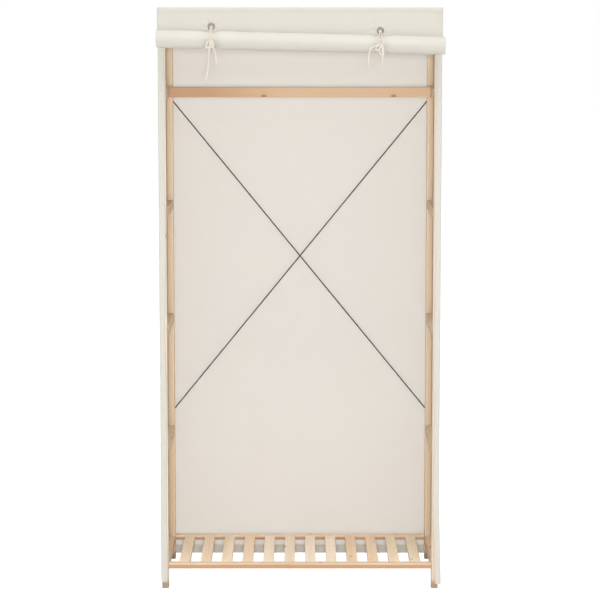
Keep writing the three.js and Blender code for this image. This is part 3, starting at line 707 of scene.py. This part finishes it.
plan = filleted(
    [
        (-valance_reach, valance_y + valance_return),
        (-valance_reach, valance_y),
        (valance_reach, valance_y),
        (valance_reach, valance_y + valance_return),
    ],
    [valance_corner] * 2,
    8,
)
reach = distances(plan)
round_corner = valance_return - 2 * valance_corner + math.pi / 2 * valance_corner
eyelet_reach = tie_places - middle + valance_reach + round_corner
places = finer_near((0, reach[-1]), eyelet_reach, fine=0.0016, coarse=0.0062)
base = walked(plan, places)
inwards = plan_inwards(base)
x = middle + base[:, 0]
low_edge = roll_height(x) + valance_rise
down, inset, along = hem_rows(flap_drop, valance_hem, 0.0009, flap_rows)
z = cloth_top - down[:, None] * (cloth_top - low_edge) / flap_drop
fall = (cloth_top - z) / (cloth_top - low_edge)
share = places / reach[-1]
loose = (1 - drawn_in(x)) * np.sin(math.pi * share) ** 0.5
flutter = 0.0009 * fall**2 * loose * (1 + np.sin(16 * math.pi * share + 2 * fall))
flutter = flutter + 0.0012 * fall * loose * creases(x + 0 * z, z * 2, 0.16, 21)
beside = (x[None, :, None] - tie_places).transpose(2, 0, 1)
above = np.stack([z - height for height in tie_heights])
away = np.hypot(beside, above)
pucker = np.cos(7 * np.arctan2(above, beside)) * np.exp(-(((away - 0.018) / 0.009) ** 2))
flutter = flutter + 0.0009 * np.clip(pucker.sum(0) + 0.3, 0, None)
from_corner = valance_reach - np.abs(base[:, 0])
flutter = flutter * np.clip((from_corner - 0.004) / 0.03, 0, 1)
inset = inset[:, None]
y = base[:, 1] + inwards[:, 1] * inset - flutter
points = np.stack([x + inwards[:, 0] * inset, y, z], -1)
normals = grid_normals(points)
normals *= np.where(normals[..., 1:2] > 0, -1, 1)
stitched(points[flap_rows, 8:-8], normals[flap_rows, 8:-8])
points, keep = holed(points)
keep[flap_rows + hem_down_rows + hem_turn_rows - 1 :, from_corner[1:] < 0.001] = False
cloth_piece(
    "cover_front_flap", points, places, along, ["cover_valance"], (reach[-1], flap_flat_drop),
    keep, -1,
)

# Top: a flat panel with a slight sag between the frame's rails, its edge turned down over the
# other panels into a narrow stitched band.
top_radius = 0.007
top_half_x = valance_reach + 0.0010
top_front = valance_y - 0.0013
top_back = lap_y + 0.0014
top_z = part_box("cover_top_panel")[1].z - cloth_thickness
band = 0.0165
band_seam = 0.0035
rim_start = 0.0094
top_rows = 24
outline = filleted(
    [
        (0, top_front),
        (top_half_x, top_front),
        (top_half_x, top_back),
        (-top_half_x, top_back),
        (-top_half_x, top_front),
        (0, top_front),
    ],
    [top_radius] * 4,
    7,
)
outline_places = np.linspace(0, distances(outline)[-1], 361)[:-1]
outline = walked(outline, outline_places)
centre = np.array([0, (top_front + top_back) / 2])
step = np.roll(outline, -1, 0) - np.roll(outline, 1, 0)
outwards = np.stack([step[:, 1], -step[:, 0]], -1) / np.linalg.norm(step, axis=1)[:, None]
profile = filleted([(-0.012, 0), (0, 0), (0, 0.008 - band), (-0.0012, -band)], [0.0024, 0.02], 7)
profile_places = np.concatenate([[0], np.linspace(rim_start, distances(profile)[-1], 26)])
profile = walked(profile, profile_places)
flat_shares = np.linspace(0, 1, top_rows) ** 0.8
inner = outline + outwards * profile[0, 0]
flat_rows = centre + flat_shares[:-1, None, None] * (inner - centre)
edge_rows = outline + outwards * profile[:, None, :1]
plan = np.concatenate([flat_rows, edge_rows])
height = np.concatenate([np.zeros(top_rows - 1), profile[:, 1]])[:, None]
held_front, held_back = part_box("top_rail_front")[1].y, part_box("top_rail_back")[0].y
held_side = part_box("top_rung_right")[0].x - middle
from_middle = (plan[..., 1] * 2 - held_front - held_back) / (held_back - held_front)
sag = np.clip(1 - (plan[..., 0] / held_side) ** 2, 0, 1)
sag = sag * np.clip(1 - from_middle**2, 0, 1)
sag = 0.0045 * sag**0.8 * (0.6 + 0.4 * creases(plan[..., 0], plan[..., 1], 0.25, 31))
points = np.stack([middle + plan[..., 0], plan[..., 1], top_z + height - sag], -1)[::-1]
closed = np.concatenate([points, points[:, :1]], 1)
top = surface("cover_top", points, closed[..., :2], cover_cloth, around=True)
thicken(top)
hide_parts("cover_top_panel")
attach(top, "cover")
top_flat = (2 * (top_half_x + band), top_back - top_front + 2 * band)
normals = -grid_normals(points)
seam = int(np.argmin(np.abs(profile[::-1, 1] - band_seam + band)))
stitched(closed[seam], np.concatenate([normals[seam], normals[seam, :1]]))

# Door: one panel sewn behind the valance. This is its stretch from the top seam down to the roll.
# Its UV along the cloth runs on past the roll by the length that the door pays out when let down.
door_drop = next(joint for joint in frame["joints"] if joint["name"] == "door_drop")["range_m"][1]
fine_from, pay_start, pay_end = 1.658, 1.6215, 1.6120
strip_low, strip_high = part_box("door_top")
strip_width = strip_high.x - strip_low.x
door_y = (strip_low.y + strip_high.y) / 2
roll_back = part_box("door_roll")[1].y
roll_radius = (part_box("door_roll")[1].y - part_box("door_roll")[0].y - cloth_thickness) / 2
share = finer_near((strip_low.x, strip_high.x), tie_places, fine=0.0016, coarse=0.0085)
share = (share - strip_low.x) / strip_width
upper = np.linspace(cloth_top, fine_from, 6)[:-1]
upper = np.concatenate([upper, np.linspace(fine_from, pay_start, 24)])
pay = np.linspace(0, 1, 60)
paid = pay * pay * (3 - 2 * pay)
last = np.linspace(0, 1, 4)[1:]
roll_width = roll_ends[0] + (roll_ends[1] - roll_ends[0]) * share
z = np.concatenate([upper, pay_start + (pay_end - pay_start) * pay[1:]])[:, None] + 0 * share
z = np.concatenate([z, pay_end + (roll_height(roll_width) - pay_end) * last[:, None]])
widened = np.concatenate([0 * upper, paid[1:], 1 + 0 * last])[:, None]
paid_out = (pay_start - pay_end + door_drop) * paid[1:]
along = np.concatenate([cloth_top - upper, cloth_top - pay_start + paid_out])
along = np.concatenate([along, along[-1] + last * 0.012])
strip_x = strip_low.x + strip_width * share
x = strip_x + (roll_width - strip_x) * widened
window = np.clip(1 - np.abs(x / 0.38) ** 6, 0, 1) * np.sin(math.pi * np.clip(widened, 0, 1)) ** 0.7
sway = 0.0034 * window * creases(x, along[:, None] * 0.35 + 0 * x, 0.19, 41)
lean = np.clip((1.634 - z) / 0.02, 0, 1)
y = door_y + (roll_back - cloth_thickness / 2 - door_y) * lean + sway
points, keep = holed(np.stack([x, y, z], -1))
uv = np.stack([x, along[:, None] + 0 * x], -1)
strip = thicken(surface("door_upper", points, uv, cover_cloth, keep=keep), -1)
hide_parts("door_top")
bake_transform(strip)

# The roll: the rest of the door, wound 16 turns from its lower edge. It starts at the back, goes
# under, up the front and over. The ties draw it in, and the cloth pleats beside them.
roll_turns = 16
core_share = 0.14
pinch = 0.0054
lump = 0.0007
turn_steps = 27


def roll_surface(angle, x, lift=0.0):
    """The roll at these angles down from its back and these places along it. The radius shrinks
    evenly with the angle, and is multiplied by one shape for all the layers, so that they nest.
    Where the roll touches the door, at its back, and opposite, the creases fade."""
    layer = 1 - (1 - core_share) * angle / (math.tau * roll_turns)
    tied = drawn_in(x)
    swell = roll_radius - lump * (0.5 - 0.5 * np.sin(math.tau * x / 0.118 + 1.1))
    full = swell - pinch * tied
    bump = 0.0011 * creases(np.cos(angle) * 0.05 + 0 * x, x * 0.6 + np.sin(angle) * 0.05, 0.055, 51)
    pleat = 0.0011 * tied * (1 - tied) * 4 * (0.5 + 0.5 * np.cos(11 * angle + 40 * x))
    to_end = np.minimum(x - roll_ends[0], roll_ends[1] - x)
    round_end = 0.0012 * np.clip(1 - to_end / 0.012, 0, 1) ** 2
    free = layer**2 * (1 - np.abs(np.cos(angle)) ** 8)
    radius = full * layer - (bump * (1 - tied) + pleat + round_end) * free + lift
    end = np.clip(1 - to_end / 0.02, 0, 1)
    shift = 0.0024 * (1 - layer) * (0.6 + 0.4 * np.sin(0.9 * angle)) * end * np.sign(x)
    y = roll_back - cloth_thickness / 2 - full + radius * np.cos(angle)
    return np.stack([x - shift, y, roll_height(x) - radius * np.sin(angle)], -1)


roll_x = finer_near(roll_ends, tie_places, fine=0.0035, coarse=0.013, reach=0.05)
first, last = roll_x[:1], roll_x[-1:]
roll_x = np.concatenate([first, first + 0.004, roll_x[1:-1], last - 0.004, last])
angle = np.linspace(0, math.tau * roll_turns, roll_turns * turn_steps + 1)[:, None]
points = roll_surface(angle, roll_x + 0 * angle)
spiral = distances(points[:, len(roll_x) // 2][:, 1:])
uv = np.stack([roll_x + 0 * angle, spiral[:, None] + along[-1] + 0 * roll_x], -1)
roll = thicken(surface("door_rolled", points, uv, cover_cloth))
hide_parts("door_roll")
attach(roll, "door")
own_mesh(roll)


# Stitches: white sewing thread, in runs of 3.5 mm stitches along every hem and seam. Each stitch
# stands a little out of the cloth, and a short gap parts it from the next.
stitch_pitch = 0.0035
stitch_margin = 0.002
half_length, half_width, half_height = 0.0012, 0.0003, 0.00018
stitch_faces = [(0, 2, 1), (0, 3, 2), (0, 4, 3), (0, 1, 4)]
stitch_faces += [(5, 1, 2), (5, 2, 3), (5, 3, 4), (5, 4, 1)]


def stitch_piece(name, lines, body):
    """Each stitch is an octahedron along its line, half sunk in the cloth."""
    material, thread = new_finish("thread_" + name)
    place = thread.node("TexCoord", output=3)
    twist = place.noise(3000.0, 1.0)
    shade = (twist * 0.5).mix(linear(238, 234, 224), linear(214, 209, 196))
    cotton = finish(material, shade, 0.7 + twist * 0.1, twist, 0.0001)
    corners, faces = [], []
    for line, normal in lines:
        lengths = distances(line)
        at = np.arange(stitch_margin, lengths[-1] - stitch_margin, stitch_pitch)
        ahead, spot = walked(line, at + half_length), walked(line, at)
        up = walked(normal, at)
        up /= np.linalg.norm(up, axis=1, keepdims=True)
        run = ahead - spot
        side = np.cross(run, up)
        side *= half_width / np.linalg.norm(side, axis=1, keepdims=True)
        up *= half_height
        tips = [spot - run, spot + side, spot + up, spot - side, spot - up, ahead]
        first = sum(len(part) for part in corners) + len(tips) * np.arange(len(at))[:, None]
        corners.append(np.stack(tips, 1).reshape(-1, 3))
        faces.extend(first + np.array(triangle) for triangle in stitch_faces)
    mesh = bpy.data.meshes.new(name)
    mesh.from_pydata(np.concatenate(corners).tolist(), [], np.concatenate(faces).tolist())
    mesh.polygons.foreach_set("use_smooth", np.ones(len(mesh.polygons), bool))
    mesh.materials.append(cotton)
    piece = placed(name, mesh)
    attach(piece, body)
    return piece


stitch_piece("cover_stitches", stitch_lines, "cover")
end_lines = []
hem_angle = np.linspace(0.2, math.tau + 0.1, 120)
for hem_x in (roll_ends[0] + 0.010, roll_ends[1] - 0.010):
    line = roll_surface(hem_angle, hem_x + 0 * hem_angle, 0.0005)
    radial = np.stack([0 * hem_angle, np.cos(hem_angle), -np.sin(hem_angle)], -1)
    end_lines.append((line, radial))
roll_stitches = stitch_piece("door_stitches", end_lines, "door")
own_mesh(roll_stitches)


# Eyelets: nickel plated rings, pressed together through the valance and the door behind it. Each
# has a rounded flange in front, a short barrel through the cloth and a flat washer behind. The
# profile gives the distance from the hole's centre and the place from front to back, in millimetres.
nickel = plated("nickel", (118, 114, 106), 1.0, 0.42, 0.15)
eyelet_profile = [
    (6.0, -184.2), (6.25, -184.55), (6.8, -184.78), (7.8, -184.8), (9.2, -184.7), (10.1, -184.4),
    (10.5, -184.0), (10.2, -183.7), (9.0, -183.6), (7.0, -183.6), (7.0, -180.3), (9.3, -180.3),
    (9.8, -180.0), (9.9, -179.5), (9.6, -179.1), (8.4, -178.9), (6.8, -178.95), (6.2, -179.2),
    (6.0, -179.6), (6.0, -182.0), (6.0, -184.2),
]
eyelet_line = np.array(eyelet_profile) / 1000
eyelet_radius = 0.009
around = np.linspace(0, math.tau, 65)
for name, place, height in zip(("left", "right"), tie_places, tie_heights):
    ring = np.stack(
        [
            place + eyelet_line[:, :1] * np.cos(around[:-1]),
            eyelet_line[:, 1:] + 0 * around[:-1],
            height + eyelet_line[:, :1] * np.sin(around[:-1]),
        ],
        -1,
    )
    uv = np.stack(np.broadcast_arrays(around * eyelet_radius, distances(eyelet_line)[:, None]), -1)
    eyelet = surface(f"eyelet_ring_{name}", ring, uv, nickel, around=True)
    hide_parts("eyelet_" + name)
    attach(eyelet, "cover")


# Ties: braided cotton cord of 4.5 mm, doubled. It passes through the eyelet, down both sides of the
# roll, and is knotted in front in a bow of two loops and two free ends.
cord_width = 0.0045
braid_pitch = 0.0042
braid_strands = 4
braided, braid_root = new_finish("braided_cord")
braid_uv = braid_root.node("TexCoord", output=2)
braid_u, braid_v = (braid_root.node("SeparateXYZ", sockets={0: braid_uv}, output=i) for i in (0, 1))
braid_round = braid_u * (math.tau * braid_strands)
braid_along = braid_v * (math.tau / braid_pitch)
braid_up = (braid_round + braid_along).sine()
braid_down = (braid_round - braid_along).sine()
braid_fibre = braid_uv.vector_maths("MULTIPLY", braid_uv, (60.0, 4000.0, 1.0)).noise(1.0, 2.0)
braid_height = braid_up * braid_down * 0.5 + braid_fibre * 0.4
# The cord turns darker where the braid's relief is low: painted shade in the grooves between
# strands, plus darker random fibres.
braid_groove_shade = (0.5 - braid_height * 0.4).within(0.0, 1.0)
braid_groove_shade = braid_groove_shade.mix(linear(224, 216, 206), linear(194, 184, 171))
finish(braided, braid_groove_shade, 0.8 + braid_fibre * 0.1, braid_height, 0.0003, Specular_IOR_Level=0.25)


def smooth_line(points, step=0.0008):
    """A smooth curve through points, Catmull-Rom, walked in even steps."""
    points = np.array(points, float)
    ends = np.concatenate([2 * points[:1] - points[1:2], points, 2 * points[-1:] - points[-2:-1]])
    before, start, stop, after = ends[:-3, None], ends[1:-2, None], ends[2:-1, None], ends[3:, None]
    bend = 2 * before - 5 * start + 4 * stop - after
    twist = 3 * (start - stop) + after - before
    share = np.linspace(0, 1, 12, endpoint=False)[:, None]
    curve = start + 0.5 * share * (stop - before + share * (bend + share * twist))
    line = np.concatenate([curve.reshape(-1, 3), points[-1:]])
    return walked(line, np.linspace(0, distances(line)[-1], max(2, int(distances(line)[-1] / step))))


def cord_piece(name, points, reference, width=cord_width, sides=16):
    """A braided tube along a smooth line: rings of radius r(1 + 0.04 s), where s is the braid's
    relief. Each ring stands across the line, turned from one reference direction."""
    line = smooth_line(points)
    run = np.gradient(line, axis=0)
    run /= np.linalg.norm(run, axis=1, keepdims=True)
    across = np.cross(run, reference)
    across /= np.linalg.norm(across, axis=1, keepdims=True)
    over = np.cross(across, run)
    along = distances(line)
    turn = np.linspace(0, math.tau, sides + 1)
    wind = math.tau * along[:, None] / braid_pitch
    relief = np.cos(braid_strands * turn + wind) * np.cos(braid_strands * turn - wind)
    radius = width / 2 * (1 + 0.04 * relief)
    to_end = np.minimum(along, along[-1] - along) / (width / 2)
    radius = radius * np.sqrt(1 - (1 - np.clip(to_end, 0, 1)) ** 2)[:, None]
    around_ring = across[:, None] * np.cos(turn)[:, None] + over[:, None] * np.sin(turn)[:, None]
    rings = line[:, None] + radius[..., None] * around_ring
    uv = np.stack(np.broadcast_arrays(turn / math.tau, along[:, None]), -1)
    piece = surface(name, rings[:, :-1], uv, braided, around=True)
    return piece, line


def tie_cord(name, points, reference, nodes):
    """One cord of a tie, along its route. It stays at its eyelet as the door comes down."""
    piece, line = cord_piece(name, points, reference)
    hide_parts(*nodes)
    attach(piece, "cover")
    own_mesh(piece)
    return piece


hold_centre_y = -0.2040
hold_radius = 0.02455
knot_y = -0.2308
eyelet_rise = 0.038
strand_spread = (0.0024, 0.0042)


def hold_route(side, spread):
    """One strand, from the knot under the roll, up its back, through the eyelet and down in front.
    Arcs follow the roll's section, and spread is half the gap between the strands above the knot."""

    def arc(degrees):
        """The place on an arc round the roll, this many degrees down from its front."""
        turn = math.radians(degrees)
        return (hold_centre_y - hold_radius * math.cos(turn), -hold_radius * math.sin(turn))

    route = [arc(degrees) for degrees in (8, 30, 50, 70, 90, 110, 130, 150, 166)]
    route += [(-0.17636, 0.0045), (-0.17636, 0.019), (-0.17636, 0.029), (-0.17666, 0.03395)]
    route += [(-0.18186, 0.0372), (-0.18706, 0.03395), (-0.18736, 0.029)]
    route += [arc(degrees) for degrees in (-82, -64, -47, -30, -8)]
    beside = cord_width / 2
    wide = np.interp(np.arange(len(route)), [0, 15, 18, 20], [beside, beside, spread, 0.0026])
    return np.column_stack([side * wide, route])


# The free ends' routes from the knot, to the right and up in millimetres, and the loops' lean in
# radians, length and width. stand_off is how far both stand out in front of the knot.
tails = {
    "left": [
        [(0, 0), (-2, -12), (-3, -26), (-5, -48), (-6, -72), (-9, -94), (-14, -116)],
        [(1, 0), (5, -13), (9, -26), (13, -40), (15.5, -55), (16, -70)],
    ],
    "right": [
        [(-2, 0), (-13, -4), (-24, -10), (-32, -20), (-34.5, -36), (-34, -52), (-34, -67)],
        [(1, 0), (4, -14), (5, -28), (4, -42), (5, -54)],
    ],
}
loops = {"left": [(-0.42, 25, 11), (0.28, 23, 10)], "right": [(0.1, 31, 14), (-0.62, 22, 9)]}
stand_off = 3.4
turn = np.linspace(0, math.tau, 49)
trefoil = np.stack(
    [
        np.sin(turn) + 2 * np.sin(2 * turn),
        np.sin(3 * turn) * 1.6,
        np.cos(turn) - 2 * np.cos(2 * turn),
    ],
    -1,
)
trefoil = trefoil * np.array([0.0015, 0.0013, 0.00095])
knot_reference, knot_width = (0.17, 0.93, 0.31), 0.0040
for index, side_name in enumerate(("left", "right")):
    place, height = tie_places[index], tie_heights[index] - eyelet_rise
    knot_centre = np.array([place, knot_y, height])
    knot_line, knot_name = knot_centre + trefoil, f"tie_{side_name}_knot"
    knot, _ = cord_piece(knot_name, knot_line, knot_reference, knot_width, sides=12)
    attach(knot, "cover")
    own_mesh(knot)
    for strand, sign in enumerate((-1, 1), 1):
        route = np.array([place, 0, height]) + hold_route(sign, strand_spread[index])
        tie_cord(
            f"tie_{side_name}_strand_{strand}", route, (1, 0, 0), [f"tie_{side_name}_hold"],
        )
    for number, (lean, length, width) in enumerate(loops[side_name], 1):
        turn = np.linspace(0.16, math.tau - 0.16, 17)
        out = length * (1 - np.cos(turn)) / 2
        wide = width / 2 * np.sin(turn) * np.sin(turn / 2) + 1.4 * np.cos(turn / 2)
        depth = -stand_off * np.sin(turn / 2) - (number - 1) * 1.1
        loop = np.stack(
            [
                wide * math.cos(lean) + out * math.sin(lean),
                depth,
                wide * math.sin(lean) - out * math.cos(lean),
            ],
            -1,
        )
        tie_cord(
            f"tie_{side_name}_loop_{number}", knot_centre + loop / 1000, (0, 1, 0.001),
            [f"tie_{side_name}_bow"],
        )
    for number, tail in enumerate(tails[side_name], 1):
        route = np.array([(x, -stand_off if i else 0, z) for i, (x, z) in enumerate(tail)]) / 1000
        tie_cord(
            f"tie_{side_name}_end_{number}", knot_centre + route, (0, 1, 0.001),
            [f"tie_{side_name}_bow"],
        )
